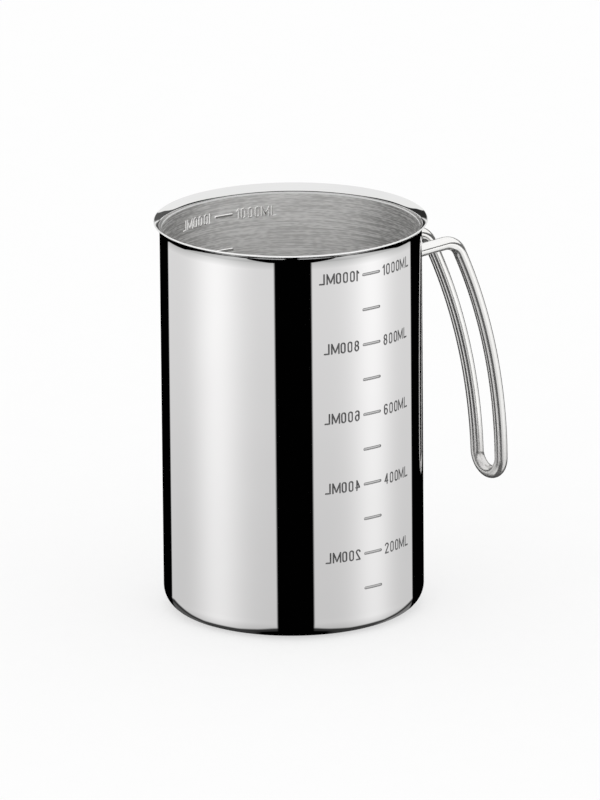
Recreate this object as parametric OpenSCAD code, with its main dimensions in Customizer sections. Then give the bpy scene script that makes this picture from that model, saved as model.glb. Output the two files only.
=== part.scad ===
// One-litre measuring jug in polished steel sheet: a drawn body with a flared pouring rim,
// a graduation pressed into the wall on two sides, and a bent wire handle welded on below the rim.
// Millimetres, +Z up. The origin is on the jug's axis, on the surface it stands on. Handle along +X.

/* [Body] */
// inside diameter of the drawn body
bore_d = 97; // [88:0.5:104]
// thickness of the sheet
wall = 0.6; // [0.5:0.1:1]
// volume at the top mark, in millilitres
capacity = 1000; // [900:100:1300]
// height from the top mark to the rim
head_room = 10.3; // [8:0.1:20]
// outside radius of the round between side and base
base_round = 8; // [5:0.5:12]

/* [Base] */
// width of the flat ring that the jug stands on
ring_w = 2; // [1.5:0.5:5]
// height of the raised panel's underside above the table
base_lift = 6; // [5:0.5:9]
// radius of the bend from the ring up to the panel
ring_bend = 2.5; // [1.5:0.25:3]
// radius of the bend from the step into the panel
panel_bend = 2; // [1:0.25:2]

/* [Rim] */
// radius of the bend under the rim
rim_bend = 3; // [2:0.1:5]
// how far the sheet turns outward at the rim, in degrees
rim_turn = 75; // [45:1:85]

/* [Scale] */
// volume between two marks, in millilitres
mark_step = 100; // [50:50:200]
// length of a mark round the wall
mark_w = 8.5; // [5:0.5:14]
// height of a mark
mark_h = 1.2; // [0.8:0.1:2]
// depth to which a mark is pressed in
mark_depth = 0.3; // [0.1:0.05:0.4]
// angle from the handle to the front scale
front_angle = 90; // [60:1:120]
// angle from the handle to the rear scale, the other way round
rear_angle = 84; // [60:1:120]

/* [Handle] */
// diameter of the handle wire
wire_d = 5; // [4:0.25:7]
// height from the wire's centre at the wall up to the rim
handle_drop = 20.3; // [14:0.1:28]
// distance between the two wires at the wall, centre to centre
top_gap = 18.5; // [14:0.5:30]
// distance between the two wires at the foot of the loop, centre to centre
foot_gap = 14.7; // [10:0.1:24]
// distance from the wall to the corner where run and leg would meet
handle_out = 21.7; // [16:0.1:34]
// upward slope of the run from the wall, in degrees
run_rise = 3; // [0:0.5:12]
// radius of the bend between run and leg, on the wire's centre line
corner_bend = 8; // [6:0.5:12]
// lean of the leg below the corner, in degrees from the vertical
lean_top = 26.3; // [15:0.1:40]
// lean of the leg at its foot, in degrees from the vertical
lean_foot = 1.4; // [0:0.1:10]
// length of the curved leg from the corner bend to the foot of the loop
leg_len = 89; // [60:1:95]
// extra thickness of the wire in its tight bends
bend_swell = 0.04; // [0.03:0.01:0.2]
// radius of the weld bead round each wire end
bead_r = 0.9; // [0.5:0.1:1.5]

/* [Hidden] */
$fn = 96;

steel = [0.80, 0.80, 0.79];
wire_steel = [0.74, 0.74, 0.73];
weld_steel = [0.62, 0.61, 0.60];
// spare length of cutters, past the faces that they cut
past = 1;
// length by which a straight stretch of wire runs on into a bend
lap = 0.25;

// body radii: inside, outside, inner edge of the standing ring, step in the base
r_in = bore_d / 2;
r_out = r_in + wall;
r_ring = r_out - base_round - ring_w;
r_step = r_ring - ring_bend;
r_panel = r_step - panel_bend;
round_in = base_round - wall;

// heights of the marks: the volume that the base takes away lifts the whole scale
bore_area = PI * r_in * r_in;
edge_loss = (1 - PI / 4) * round_in * round_in * 2 * PI * (r_in - 0.2234 * round_in);
panel_loss = PI * pow(r_step + wall, 2) * base_lift;
scale_zero = wall + (edge_loss + panel_loss) / bore_area;
mark_count = floor(capacity / mark_step);
function mark_z(n) = scale_zero + n * mark_step * 1000 / bore_area;
jug_h = mark_z(capacity / mark_step) + head_room;

// rim: the sheet turns outward about a centre outside the wall
rim_r = r_out + rim_bend;
rim_z = jug_h - (rim_bend + wall) * sin(rim_turn);

// handle: each half lies in a plane through its run, tilted towards the other half
handle_z = jug_h - handle_drop;
corner_turn = 90 + run_rise - lean_top;
leg_turn = lean_top - lean_foot;
leg_bend = leg_len * 180 / (PI * leg_turn);
leg_lap = lap * 180 / (PI * leg_bend);
run_len = handle_out / cos(run_rise) - corner_bend * tan(corner_turn / 2);
leg_x = run_len + (corner_bend - leg_bend) * sin(corner_turn);
leg_z = -corner_bend + (corner_bend - leg_bend) * cos(corner_turn);
foot_turn = corner_turn + leg_turn;
// foot of the leg and its direction in the half's own plane
foot_u = leg_x + leg_bend * sin(foot_turn);
foot_v = leg_z + leg_bend * cos(foot_turn);
half_tilt = asin((top_gap - foot_gap) / 2 / -foot_v);
dir_u = cos(foot_turn);
dir_v = -sin(foot_turn);
// the same in the jug's frame, on the middle plane
foot_x = r_out + foot_u * cos(run_rise) - foot_v * cos(half_tilt) * sin(run_rise);
foot_z = handle_z + foot_u * sin(run_rise) + foot_v * cos(half_tilt) * cos(run_rise);
dir_x = dir_u * cos(run_rise) - dir_v * cos(half_tilt) * sin(run_rise);
dir_z = dir_u * sin(run_rise) + dir_v * cos(half_tilt) * cos(run_rise);
dir_y = -dir_v * sin(half_tilt);
// closed end of the loop
loop_slant = atan2(dir_y, norm([dir_x, dir_z]));
loop_bend = foot_gap / 2 / cos(loop_slant);
loop_x = foot_x - loop_bend * sin(loop_slant) * dir_x / norm([dir_x, dir_z]);
loop_z = foot_z - loop_bend * sin(loop_slant) * dir_z / norm([dir_x, dir_z]);
// direction of the wall where a wire end meets it
end_angle = asin(top_gap / 2 / r_out);

// sheet between the outside and the inside of the body, without the rim
module side_and_base() {
  difference() {
    union() {
      translate([0, base_round]) square([r_out, rim_z - base_round]);
      square([r_out - base_round, base_round + past]);
      translate([r_out - base_round, base_round]) circle(base_round);
    }
    // space inside the jug
    difference() {
      union() {
        translate([0, base_round]) square([r_in, rim_z + past]);
        translate([0, wall]) square([r_out - base_round, base_round]);
        translate([r_out - base_round, base_round]) circle(round_in);
      }
      panel_form(wall);
    }
    panel_form(0);
    translate([-2 * r_out, -past]) square([2 * r_out, jug_h]);
  }
}

// hollow under the raised panel, or with skin the top of that panel inside the jug
module panel_form(skin) {
  translate([0, -past]) square([r_step + skin, base_lift - panel_bend + past]);
  translate([0, -past]) square([r_panel, base_lift + skin + past]);
  translate([r_panel, base_lift - panel_bend]) circle(panel_bend + skin);
  difference() {
    translate([r_step - past, -past]) square([ring_bend + past, ring_bend + past]);
    translate([r_ring, ring_bend]) circle(ring_bend - skin);
    translate([r_ring, ring_bend]) square([past, past]);
  }
}

// sheet of the flared rim
module flare() {
  intersection() {
    translate([rim_r, rim_z]) difference() {
      circle(rim_bend + wall);
      circle(rim_bend);
    }
    translate([rim_r, rim_z]) rotate(180 - rim_turn) square([3 * rim_bend, 3 * rim_bend]);
    translate([0, rim_z]) square([rim_r, jug_h]);
  }
}

// outline of one mark, standing square to the wall
module mark_bar(angle, z) {
  rotate([0, 0, angle]) translate([0, 0, z]) rotate([90, 0, 90]) linear_extrude(r_out + past) {
    square([mark_w - mark_h, mark_h], center = true);
    for (side = [-1, 1]) translate([side * (mark_w - mark_h) / 2, 0]) circle(d = mark_h);
  }
}

// all the marks of the two scales
module mark_bars() {
  for (angle = [-front_angle, rear_angle])
    for (n = [1:mark_count])
      mark_bar(angle, mark_z(n));
}

// solid cylinder on the jug's axis
module core(radius) {
  cylinder(r = radius, h = jug_h, $fn = 240);
}

module jug_body() {
  color(steel) {
    difference() {
      rotate_extrude() side_and_base();
      // marks pressed in from outside
      difference() {
        mark_bars();
        core(r_out - mark_depth);
      }
    }
    // the same marks standing proud inside
    intersection() {
      mark_bars();
      difference() {
        core(r_in);
        core(r_in - mark_depth);
      }
    }
    rotate_extrude() flare();
  }
}

// bent piece of wire in the half's own plane, from the top of its bend downward
module wire_bend(radius, from, turn, swell) {
  rotate([90, 0, 0]) rotate([0, 0, 90 - from - turn])
    rotate_extrude(angle = turn) translate([radius, 0]) circle(d = wire_d + swell);
}

// places what is drawn in a half's own plane
module half_plane(side) {
  translate([r_out, side * top_gap / 2, handle_z]) rotate([0, -run_rise, 0])
    rotate([-side * half_tilt, 0, 0]) children();
}

// straight wire from inside the wall to the corner bend
module run_wire(side) {
  half_plane(side) translate([-top_gap, 0, 0]) rotate([0, 90, 0])
    cylinder(d = wire_d, h = run_len + top_gap + lap);
}

module half_handle(side) {
  difference() {
    run_wire(side);
    core(r_out);
  }
  half_plane(side) translate([run_len, 0, -corner_bend])
    wire_bend(corner_bend, 0, corner_turn, bend_swell);
  half_plane(side) translate([leg_x, 0, leg_z])
    wire_bend(leg_bend, corner_turn - leg_lap, leg_turn + 2 * leg_lap, 0);
}

module wire_handle() {
  color(wire_steel) {
    half_handle(-1);
    half_handle(1);
    translate([loop_x, 0, loop_z]) rotate([0, atan2(dir_z, -dir_x), 0])
      rotate([0, 0, 90 + loop_slant]) rotate_extrude(angle = 180 - 2 * loop_slant)
        translate([loop_bend, 0]) circle(d = wire_d + bend_swell);
  }
}

// weld bead lying in the corner between wire and wall
module weld(side) {
  difference() {
    translate([0, 0, handle_z]) rotate([0, 0, side * end_angle]) translate([r_out, 0, 0])
      rotate([0, 90, 0]) rotate_extrude() translate([wire_d / 2 / cos(end_angle), 0]) circle(bead_r);
    core(r_out);
    run_wire(side);
  }
}

module weld_front() {
  color(weld_steel) weld(-1);
}

module weld_rear() {
  color(weld_steel) weld(1);
}

jug_body();
wire_handle();
weld_front();
weld_rear();
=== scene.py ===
"""Studio scene of a one-litre measuring jug in polished steel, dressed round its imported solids."""
from __future__ import annotations

import logging
import math
from dataclasses import dataclass, field
from enum import Enum
from typing import Any, Callable, Optional, Union

import bpy
import numpy as np
from mathutils import Matrix, Vector
from mathutils.geometry import delaunay_2d_cdt

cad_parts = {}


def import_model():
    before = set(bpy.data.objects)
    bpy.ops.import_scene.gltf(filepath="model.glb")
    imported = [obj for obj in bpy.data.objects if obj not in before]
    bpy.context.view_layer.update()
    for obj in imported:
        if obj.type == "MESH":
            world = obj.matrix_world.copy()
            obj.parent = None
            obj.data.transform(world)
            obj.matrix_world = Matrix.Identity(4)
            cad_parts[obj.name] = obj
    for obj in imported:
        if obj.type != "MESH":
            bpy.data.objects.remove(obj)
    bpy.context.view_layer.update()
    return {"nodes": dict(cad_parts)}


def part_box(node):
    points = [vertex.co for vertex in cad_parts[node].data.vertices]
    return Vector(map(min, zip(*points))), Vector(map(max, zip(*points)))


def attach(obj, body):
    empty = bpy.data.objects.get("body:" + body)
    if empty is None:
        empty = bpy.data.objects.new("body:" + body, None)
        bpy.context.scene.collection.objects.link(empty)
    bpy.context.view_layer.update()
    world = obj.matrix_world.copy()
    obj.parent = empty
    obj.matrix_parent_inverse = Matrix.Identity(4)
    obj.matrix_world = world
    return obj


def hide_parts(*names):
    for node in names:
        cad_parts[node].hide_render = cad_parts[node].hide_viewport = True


log = logging.getLogger("measuring_jug")

MM = 0.001
ML = 1000.0  # mm3 in a millilitre
COLUMNS = 360  # round the sheet, one for each degree
CLOSE = 1e-5  # mm within which two places are one
JOIN = 1e-6  # mm within which the triangulation joins two places
TINY = 1e-9  # keeps a length away from 0
BODY = "root"
LETTERS = "012468ML"
ADVANCE = {"1": 0.576, "M": 1.231}  # letters that aren't one pitch wide
SHEET_VALUES = ("section_run", "flank", "fade")

Array = np.ndarray
Colour = tuple[float, float, float]
Face = tuple[int, ...]
Material = bpy.types.Material
Mesh = bpy.types.Mesh
Number = Union["Term", float]
Numbers = Union[Array, float]
Piece = bpy.types.Object
Span = tuple[float, float]
Stand = tuple[str, float, float, float]
Surface = tuple["Term", "Term", "Term", Number]


class Term:
    """A value in a node tree; arithmetic on it adds Math nodes, its methods add others."""

    def __init__(self, graph: Graph, socket: bpy.types.NodeSocket) -> None:
        """Wraps one output socket of a tree."""
        self.graph = graph
        self.socket = socket

    def other(self, name: str) -> Term:
        """Another output of the same node."""
        return Term(self.graph, self.socket.node.outputs[name])

    def math(self, operation: str, *values: Number) -> Term:
        """A Math node with this value as its first input."""
        inputs = dict(enumerate((self, *values)))
        return self.graph.node("ShaderNodeMath", {"operation": operation}, inputs)

    def reflected(self, operation: str, value: Number) -> Term:
        """A Math node with this value as its second input."""
        return self.graph.node("ShaderNodeMath", {"operation": operation}, {0: value, 1: self})

    def __add__(self, value: Number) -> Term:
        """This value plus another."""
        return self.math("ADD", value)

    def __radd__(self, value: Number) -> Term:
        """A number plus this value."""
        return self.reflected("ADD", value)

    def __sub__(self, value: Number) -> Term:
        """This value less another."""
        return self.math("SUBTRACT", value)

    def __rsub__(self, value: Number) -> Term:
        """A number less this value."""
        return self.reflected("SUBTRACT", value)

    def __mul__(self, value: Number) -> Term:
        """This value times another."""
        return self.math("MULTIPLY", value)

    def __rmul__(self, value: Number) -> Term:
        """A number times this value."""
        return self.reflected("MULTIPLY", value)

    def __truediv__(self, value: Number) -> Term:
        """This value divided by another."""
        return self.math("DIVIDE", value)

    def __rtruediv__(self, value: Number) -> Term:
        """A number divided by this value."""
        return self.reflected("DIVIDE", value)

    def __neg__(self) -> Term:
        """This value with its sign turned."""
        return self.reflected("MULTIPLY", -1.0)

    def __abs__(self) -> Term:
        """This value without its sign."""
        return self.math("ABSOLUTE")

    def step(self, low: float, high: float) -> Term:
        """A smooth step from 0 where this value is low to 1 where it is high."""
        sockets = {"Value": self, "From Min": low, "From Max": high}
        return self.graph.node("ShaderNodeMapRange", {"interpolation_type": "SMOOTHSTEP"}, sockets)

    def bell(self) -> Term:
        """A soft peak: 1 where this value is 0, falling off to both sides."""
        return (-(self * self)).math("EXPONENT")

    def parts(self) -> tuple[Term, Term, Term]:
        """The three parts of a vector."""
        x = self.graph.node("ShaderNodeSeparateXYZ", sockets={0: self})
        return x, x.other("Y"), x.other("Z")

    def blend(self, first: Union[Term, Colour], second: Union[Term, Colour]) -> Term:
        """A colour between two others: where this value is 0 the first, where it is 1 the second."""
        inputs = {0: self, 6: opaque(first), 7: opaque(second)}
        return self.graph.node("ShaderNodeMix", {"data_type": "RGBA"}, inputs, out=2)

    def bump(self, strength: float, distance: float) -> Term:
        """A normal that is tilted by this value as a height; the distance is its height in metres."""
        sockets = {"Height": self, "Strength": strength, "Distance": distance}
        return self.graph.node("ShaderNodeBump", sockets=sockets)


class Graph:
    """Node tree of one material, one world or one swept piece."""

    def __init__(self, tree: bpy.types.NodeTree) -> None:
        """Takes over an existing tree and empties it."""
        self.tree = tree
        tree.nodes.clear()

    def node(
        self,
        kind: str,
        settings: Optional[dict[str, Any]] = None,
        sockets: Optional[dict[Union[str, int], Any]] = None,
        out: Union[str, int, None] = 0,
    ) -> Optional[Term]:
        """Adds a node of any type.

        Args:
            kind: the node's type.
            settings: properties of the node, set before its sockets; captures are new capture items.
            sockets: values or terms for the inputs, by name or place.
            out: the output that is wanted, or None for a closing node.

        Returns:
            The wanted output as a term, or None.
        """
        made = self.tree.nodes.new(kind)
        for name, value in (settings or {}).items():
            if name == "captures":
                for item_kind, item_name in value:
                    made.capture_items.new(item_kind, item_name)
            else:
                setattr(made, name, value)
        for name, value in (sockets or {}).items():
            if isinstance(value, Term):
                self.tree.links.new(value.socket, made.inputs[name])
            else:
                made.inputs[name].default_value = value
        return None if out is None else Term(self, made.outputs[out])

    def place(self) -> Term:
        """Object coordinates, in metres."""
        return self.node("ShaderNodeTexCoord", out="Object")

    def vector(self, x: Number, y: Number, z: Number) -> Term:
        """A vector put together from three values."""
        return self.node("ShaderNodeCombineXYZ", sockets={0: x, 1: y, 2: z})

    def attribute(self, name: str, output: str = "Fac") -> Term:
        """A value that the mesh carries, as its Fac or its Vector."""
        return self.node("ShaderNodeAttribute", {"attribute_name": name}, out=output)

    def noise(self, vector: Term, scale: float = 1.0, detail: float = 2.0) -> Term:
        """Noise between 0 and 1 on a vector; the scale is the number of features in one unit."""
        return self.node("ShaderNodeTexNoise", sockets={"Vector": vector, "Scale": scale, "Detail": detail})

    def ring_lines(self, round_scale: float, line_scale: float, detail: float) -> Term:
        """Fine lines that run round the jug, because they follow the section of its sheet.

        Args:
            round_scale: features in a metre round the jug.
            line_scale: lines in a metre along the section.
            detail: octaves of finer lines.

        Returns:
            The lines, between 0 and 1.
        """
        x, y, _ = self.place().parts()
        run = self.attribute("section_run")
        return self.noise(self.vector(x * round_scale, y * round_scale, run * line_scale), detail=detail)

    def glow(self, colour: Colour, strength: Number) -> Term:
        """A surface that shines by itself."""
        return self.node("ShaderNodeEmission", sockets={"Color": opaque(colour), "Strength": strength})

    def close(self, shader: Term) -> None:
        """Ends a material's tree with its surface."""
        self.node("ShaderNodeOutputMaterial", sockets={"Surface": shader}, out=None)


def sin_deg(angle: float) -> float:
    """Sine of an angle in degrees."""
    return math.sin(math.radians(angle))


def cos_deg(angle: float) -> float:
    """Cosine of an angle in degrees."""
    return math.cos(math.radians(angle))


def opaque(colour: Union[Term, Colour]) -> Any:
    """A plain colour with full cover, or a term as it is."""
    return colour if isinstance(colour, Term) else (*colour, 1.0)


def new_material(name: str) -> tuple[Material, Graph]:
    """Makes a material.

    Args:
        name: the material's name.

    Returns:
        The new material and its empty node tree.
    """
    made = bpy.data.materials.new(name)
    made.use_nodes = True
    return made, Graph(made.node_tree)


@dataclass(frozen=True)
class SteelFinish:
    """What all steel surfaces share; the relief of each kind is a bump's strength and height in metres."""

    name: str
    tone: Colour
    shade: Colour
    gloss: float
    gloss_spread: float
    directional: float = 0.0
    brush_turn: float = 0.25
    metal: float = 1.0
    shine: float = 0.5

    def material(self) -> Material:
        """Makes the finish.

        Returns:
            A new material.
        """
        made, graph = new_material(self.name)
        colour, roughness, normal, metal = self.surface(graph)
        graph.close(graph.node("ShaderNodeBsdfPrincipled", sockets={
            "Base Color": colour,
            "Metallic": metal,
            "Specular IOR Level": self.shine,
            "Roughness": roughness,
            "Anisotropic": self.directional,
            "Anisotropic Rotation": self.brush_turn,
            "Normal": normal,
        }))
        return made

    def surface(self, graph: Graph) -> Surface:
        """Colour, roughness, normal and metal of the finish; each kind of steel has its own."""
        raise NotImplementedError


@dataclass(frozen=True)
class MirrorSheet(SteelFinish):
    """Mirror polish of the outside, with painted shade in the pressed lettering and painted shade towards the
    rim.
    """

    # near-black colour painted into the pressed strokes as shade
    groove_shade: Colour = (0.09, 0.09, 0.092)
    groove_shade_cover: float = 0.95
    groove_gloss: float = 0.12
    # colour of the painted shade under the flare and on the wall just below it
    rim_shaded: Colour = (0.6, 0.6, 0.6)
    cloud_scale: float = 45.0
    round_scale: float = 50.0
    line_scale: float = 2600.0
    relief: Span = (0.2, 0.00002)

    def surface(self, graph: Graph) -> Surface:
        """Polishing clouds, faint lines round the jug, painted shade under the rim and painted shade on the
        flanks of the marks.

        Args:
            graph: the material's node tree.

        Returns:
            Colour, roughness, normal and metal.
        """
        cloud = graph.noise(graph.place(), self.cloud_scale, detail=3.0)
        lines = graph.ring_lines(self.round_scale, self.line_scale, detail=2.0)
        flank = graph.attribute("flank")
        base = cloud.blend(self.shade, self.tone)
        # painted shade: darker on the flare's underside, fading out towards the top of the scales
        base = graph.attribute("fade").blend(base, self.rim_shaded)
        # painted shade: the flanks and floors of the pressed marks are darkened towards the groove shade
        # colour
        colour = (flank * self.groove_shade_cover).blend(base, self.groove_shade)
        roughness = self.gloss + self.gloss_spread * cloud * lines + flank * self.groove_gloss
        return colour, roughness, cloud.bump(*self.relief), self.metal


@dataclass(frozen=True)
class BrushedSheet(SteelFinish):
    """Satin inside with long lines and short grit round the jug; painted shade darkens two sectors, and the
    raised marks carry a painted highlight.
    """

    round_scale: float = 45.0
    grit_scale: float = 420.0
    grit_share: float = 0.4
    line_scale: float = 2300.0
    contrast: Span = (0.33, 0.67)
    # painted shade: the inside is darker in the two sectors turned away from this angle, with stronger line
    # contrast there
    lit_sector_angle: float = 58.0
    lit_sector_edge: Span = (0.2, 0.85)
    sector_shade: float = 0.53
    sector_shade_contrast: float = 0.22
    flank_edge: Span = (0.0, 0.5)
    flank_polish: float = 0.85
    relief: Span = (0.3, 0.00004)

    def surface(self, graph: Graph) -> Surface:
        """Brush lines, painted shade in two sectors, and polished flanks of the marks with a painted
        highlight.

        Args:
            graph: the material's node tree.

        Returns:
            Colour, roughness, normal and metal.
        """
        drawn = graph.ring_lines(self.round_scale, self.line_scale, detail=0.0)
        grit = graph.ring_lines(self.grit_scale, self.line_scale, detail=0.0)
        lines = drawn * (1.0 - self.grit_share) + grit * self.grit_share
        bright = lines.step(*self.contrast)
        flank = graph.attribute("flank")
        # painted highlight: the flanks of the marks take the light tone
        base = bright.math("MAXIMUM", flank).blend(self.shade, self.tone)
        x, y, _ = graph.place().parts()
        # painted shade over two sectors of the inside; the marks are kept out of it
        across = x * cos_deg(self.lit_sector_angle) + y * sin_deg(self.lit_sector_angle)
        lit_sector = (across * across / (x * x + y * y)).step(*self.lit_sector_edge)
        clear = lit_sector.math("MAXIMUM", flank)
        painted_light = self.sector_shade + (1.0 - self.sector_shade) * clear
        painted_light = painted_light + self.sector_shade_contrast * (1.0 - clear) * (bright - 0.5)
        colour = graph.node("ShaderNodeVectorMath", {"operation": "SCALE"}, {0: base, "Scale": painted_light})
        pressed = flank.step(*self.flank_edge)
        roughness = (self.gloss + self.gloss_spread * lines) * (1.0 - pressed * self.flank_polish)
        metal = self.metal + (1.0 - self.metal) * pressed
        return colour, roughness, lines.bump(*self.relief), metal


@dataclass(frozen=True)
class GroundEdge(SteelFinish):
    """Ground steel along the lip's cut edge; the line under the rim uses it as a white, non-metal painted
    highlight.
    """

    grit_scale: float = 1800.0
    relief: Span = (0.05, 0.00001)

    def surface(self, graph: Graph) -> Surface:
        """Fine grinding marks.

        Args:
            graph: the material's node tree.

        Returns:
            Colour, roughness, normal and metal.
        """
        grit = graph.noise(graph.place(), self.grit_scale, detail=3.0)
        colour = grit.blend(self.shade, self.tone)
        return colour, self.gloss + self.gloss_spread * grit, grit.bump(*self.relief), self.metal


@dataclass(frozen=True)
class DrawnWire(SteelFinish):
    """Polished wire with faint drawing lines along its length; round the foot of the loop it is duller and
    painted darker as shade.
    """

    round_scale: float = 7.0
    long_scale: float = 14.0
    cloud_scale: float = 70.0
    contrast: Span = (0.3, 0.7)
    # darker colour painted round the foot of the loop as shade
    worn_and_shaded: Colour = (0.7, 0.69, 0.68)
    worn_and_shaded_edge: Span = (0.008, 0.03)
    worn_gloss: float = 0.15
    relief: Span = (0.04, 0.00002)

    def surface(self, graph: Graph) -> Surface:
        """Drawing lines along the wire and broad polishing clouds.

        Args:
            graph: the material's node tree.

        Returns:
            Colour, roughness, normal and metal.
        """
        across, up, along = graph.attribute("grain", "Vector").parts()
        grain = graph.vector(across * self.round_scale, up * self.round_scale, along * self.long_scale)
        lines = graph.noise(grain)
        cloud = graph.noise(graph.place(), self.cloud_scale)
        mixed = cloud * 0.5 + lines * 0.5
        colour = mixed.step(*self.contrast).blend(self.shade, self.tone)
        worn_and_shaded = 1.0 - abs(along).step(*self.worn_and_shaded_edge)
        # painted shade: the foot of the loop is darkened; its roughness also rises there
        colour = (worn_and_shaded * (0.5 + 0.5 * cloud)).blend(colour, self.worn_and_shaded)
        roughness = self.gloss + self.gloss_spread * lines * cloud + self.worn_gloss * worn_and_shaded
        return colour, roughness, lines.bump(*self.relief), self.metal


@dataclass(frozen=True)
class WeldBead(SteelFinish):
    """Cleaned weld: duller than the polished steel, with the ripples of the torch."""

    speck_scale: float = 900.0
    ripple_scale: float = 270.0
    speck_share: float = 0.4
    contrast: Span = (0.35, 0.65)
    relief: Span = (0.5, 0.00015)

    def surface(self, graph: Graph) -> Surface:
        """Ripples round the bead and small specks.

        Args:
            graph: the material's node tree.

        Returns:
            Colour, roughness, normal and metal.
        """
        specks = graph.noise(graph.place(), self.speck_scale, detail=3.0)
        broad = graph.noise(graph.place(), self.ripple_scale)
        ripple = specks * self.speck_share + broad * (1.0 - self.speck_share)
        colour = ripple.step(*self.contrast).blend(self.shade, self.tone)
        roughness = self.gloss + self.gloss_spread * specks
        return colour, roughness, ripple.bump(*self.relief), self.metal


class SteelWork(Enum):
    """The finishes of the jug: tone, shade, gloss and its spread, then what differs from bare steel."""

    OUTSIDE = MirrorSheet("mirror_sheet", (0.85, 0.843, 0.847), (0.82, 0.813, 0.817), 0.012, 0.02)
    INSIDE = BrushedSheet(
        "brushed_sheet", (0.98, 0.975, 0.965), (0.7, 0.695, 0.685), 0.45, 0.2, directional=0.5, metal=0.45)
    LIP = GroundEdge("ground_lip", (0.98, 0.98, 0.975), (0.93, 0.93, 0.925), 0.3, 0.15, metal=0.15)
    RIM = MirrorSheet("mirror_rim", (0.82, 0.82, 0.818), (0.78, 0.78, 0.778), 0.02, 0.03)
    # painted highlight: the crease under the rim is a white band with no metal
    CREASE = GroundEdge(
        "burnished_crease", (1.0, 1.0, 0.995), (0.96, 0.96, 0.955), 0.3, 0.15, metal=0.0, shine=0.0)
    WIRE = DrawnWire("drawn_wire", (0.985, 0.98, 0.97), (0.9, 0.895, 0.88), 0.085, 0.1, metal=0.85)
    WELD = WeldBead("cleaned_weld", (0.68, 0.67, 0.65), (0.5, 0.49, 0.47), 0.24, 0.22)


SHEET_WORKS = (SteelWork.OUTSIDE, SteelWork.INSIDE, SteelWork.LIP, SteelWork.RIM, SteelWork.CREASE)


def new_piece(name: str, data: bpy.types.ID) -> Piece:
    """Puts a mesh, a curve or a camera into the scene.

    Args:
        name: the object's name.
        data: what the object shows, in metres.

    Returns:
        The new object, at the origin.
    """
    made = bpy.data.objects.new(name, data)
    bpy.context.scene.collection.objects.link(made)
    return made


def new_mesh(name: str, corners: Array, faces: list[Face]) -> Mesh:
    """Makes a mesh.

    Args:
        name: the mesh's name.
        corners: its corners, in metres, one a row.
        faces: the corners' numbers, face by face.

    Returns:
        The new mesh.
    """
    mesh = bpy.data.meshes.new(name)
    mesh.from_pydata(corners.tolist(), [], faces)
    return mesh


def set_values(mesh: Mesh, values: dict[str, Array]) -> None:
    """Gives each vertex of a mesh a number under each name.

    Args:
        mesh: the mesh, changed in place.
        values: the numbers by name.
    """
    for name, numbers in values.items():
        attribute = mesh.attributes.new(name, "FLOAT", "POINT")
        attribute.data.foreach_set("value", numbers.ravel().astype(np.float32))


def polar(turn: Numbers, radius: Numbers = 1.0, height: Numbers = 0.0) -> Array:
    """Places round the upright axis, from their angle, radius and height."""
    return np.stack(np.broadcast_arrays(radius * np.cos(turn), radius * np.sin(turn), height), axis=-1)


def grid_faces(rows: int, columns: int, closed: bool) -> list[Face]:
    """Faces between the vertices of a grid.

    Args:
        rows: number of rows.
        columns: vertices in a row.
        closed: true where the last column joins the first.

    Returns:
        The faces, row by row.
    """
    faces = []
    for row in range(rows - 1):
        low, high = row * columns, (row + 1) * columns
        for k in range(columns if closed else columns - 1):
            after = (k + 1) % columns
            faces.append((low + k, high + k, high + after, low + after))
    return faces


CELL_STEPS: dict[int, tuple[tuple[int, int], ...]] = {
    1: ((0, 3),), 2: ((1, 0),), 3: ((1, 3),), 4: ((2, 1),), 5: ((0, 3), (2, 1)), 6: ((2, 0),), 7: ((2, 3),),
    8: ((3, 2),), 9: ((0, 2),), 10: ((1, 0), (3, 2)), 11: ((1, 2),), 12: ((3, 1),), 13: ((0, 1),),
    14: ((3, 0),),
}


def level_loops(values: Array, level: float) -> list[Array]:
    """Closed lines along which a grid of values crosses a level.

    Args:
        values: grid of values, rows first.
        level: the level that is followed.

    Returns:
        One array of points for each loop, in grid steps.
    """
    inside = values < level
    code = inside[:-1, :-1] * 1 + inside[:-1, 1:] * 2 + inside[1:, 1:] * 4 + inside[1:, :-1] * 8
    onward: dict[tuple[int, int, int], tuple[int, int, int]] = {}
    for j, i in zip(*np.nonzero((code > 0) & (code < 15))):
        edges = ((0, i, j), (1, i + 1, j), (0, i, j + 1), (1, i, j))
        for first, last in CELL_STEPS[int(code[j, i])]:
            onward[edges[first]] = edges[last]
    loops = []
    while onward:
        edge = next(iter(onward))
        points = []
        while edge in onward:
            upright, i, j = edge
            start = values[j, i]
            end = values[j + 1, i] if upright else values[j, i + 1]
            share = (level - start) / (end - start)
            points.append((i, j + share) if upright else (i + share, j))
            edge = onward.pop(edge)
        loops.append(np.array(points))
    return loops


def thinned(loop: Array, tolerance: float) -> Array:
    """Leaves out the points of a closed loop that lie almost on a straight line.

    Args:
        loop: points of the loop.
        tolerance: how far the line may move.

    Returns:
        The points that are kept.
    """
    far = int(np.argmax(np.linalg.norm(loop - loop[0], axis=1)))
    closed = np.vstack([loop, loop[:1]])
    kept = {0, far}
    spans = [(0, far), (far, len(loop))]
    while spans:
        first, last = spans.pop()
        if last - first < 2:
            continue
        chord = closed[last] - closed[first]
        offset = closed[first + 1:last] - closed[first]
        away = np.abs(chord[0] * offset[:, 1] - chord[1] * offset[:, 0]) / np.linalg.norm(chord)
        worst = int(np.argmax(away))
        if away[worst] > tolerance:
            middle = first + 1 + worst
            kept.add(middle)
            spans += [(first, middle), (middle, last)]
    return loop[sorted(kept)]


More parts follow.
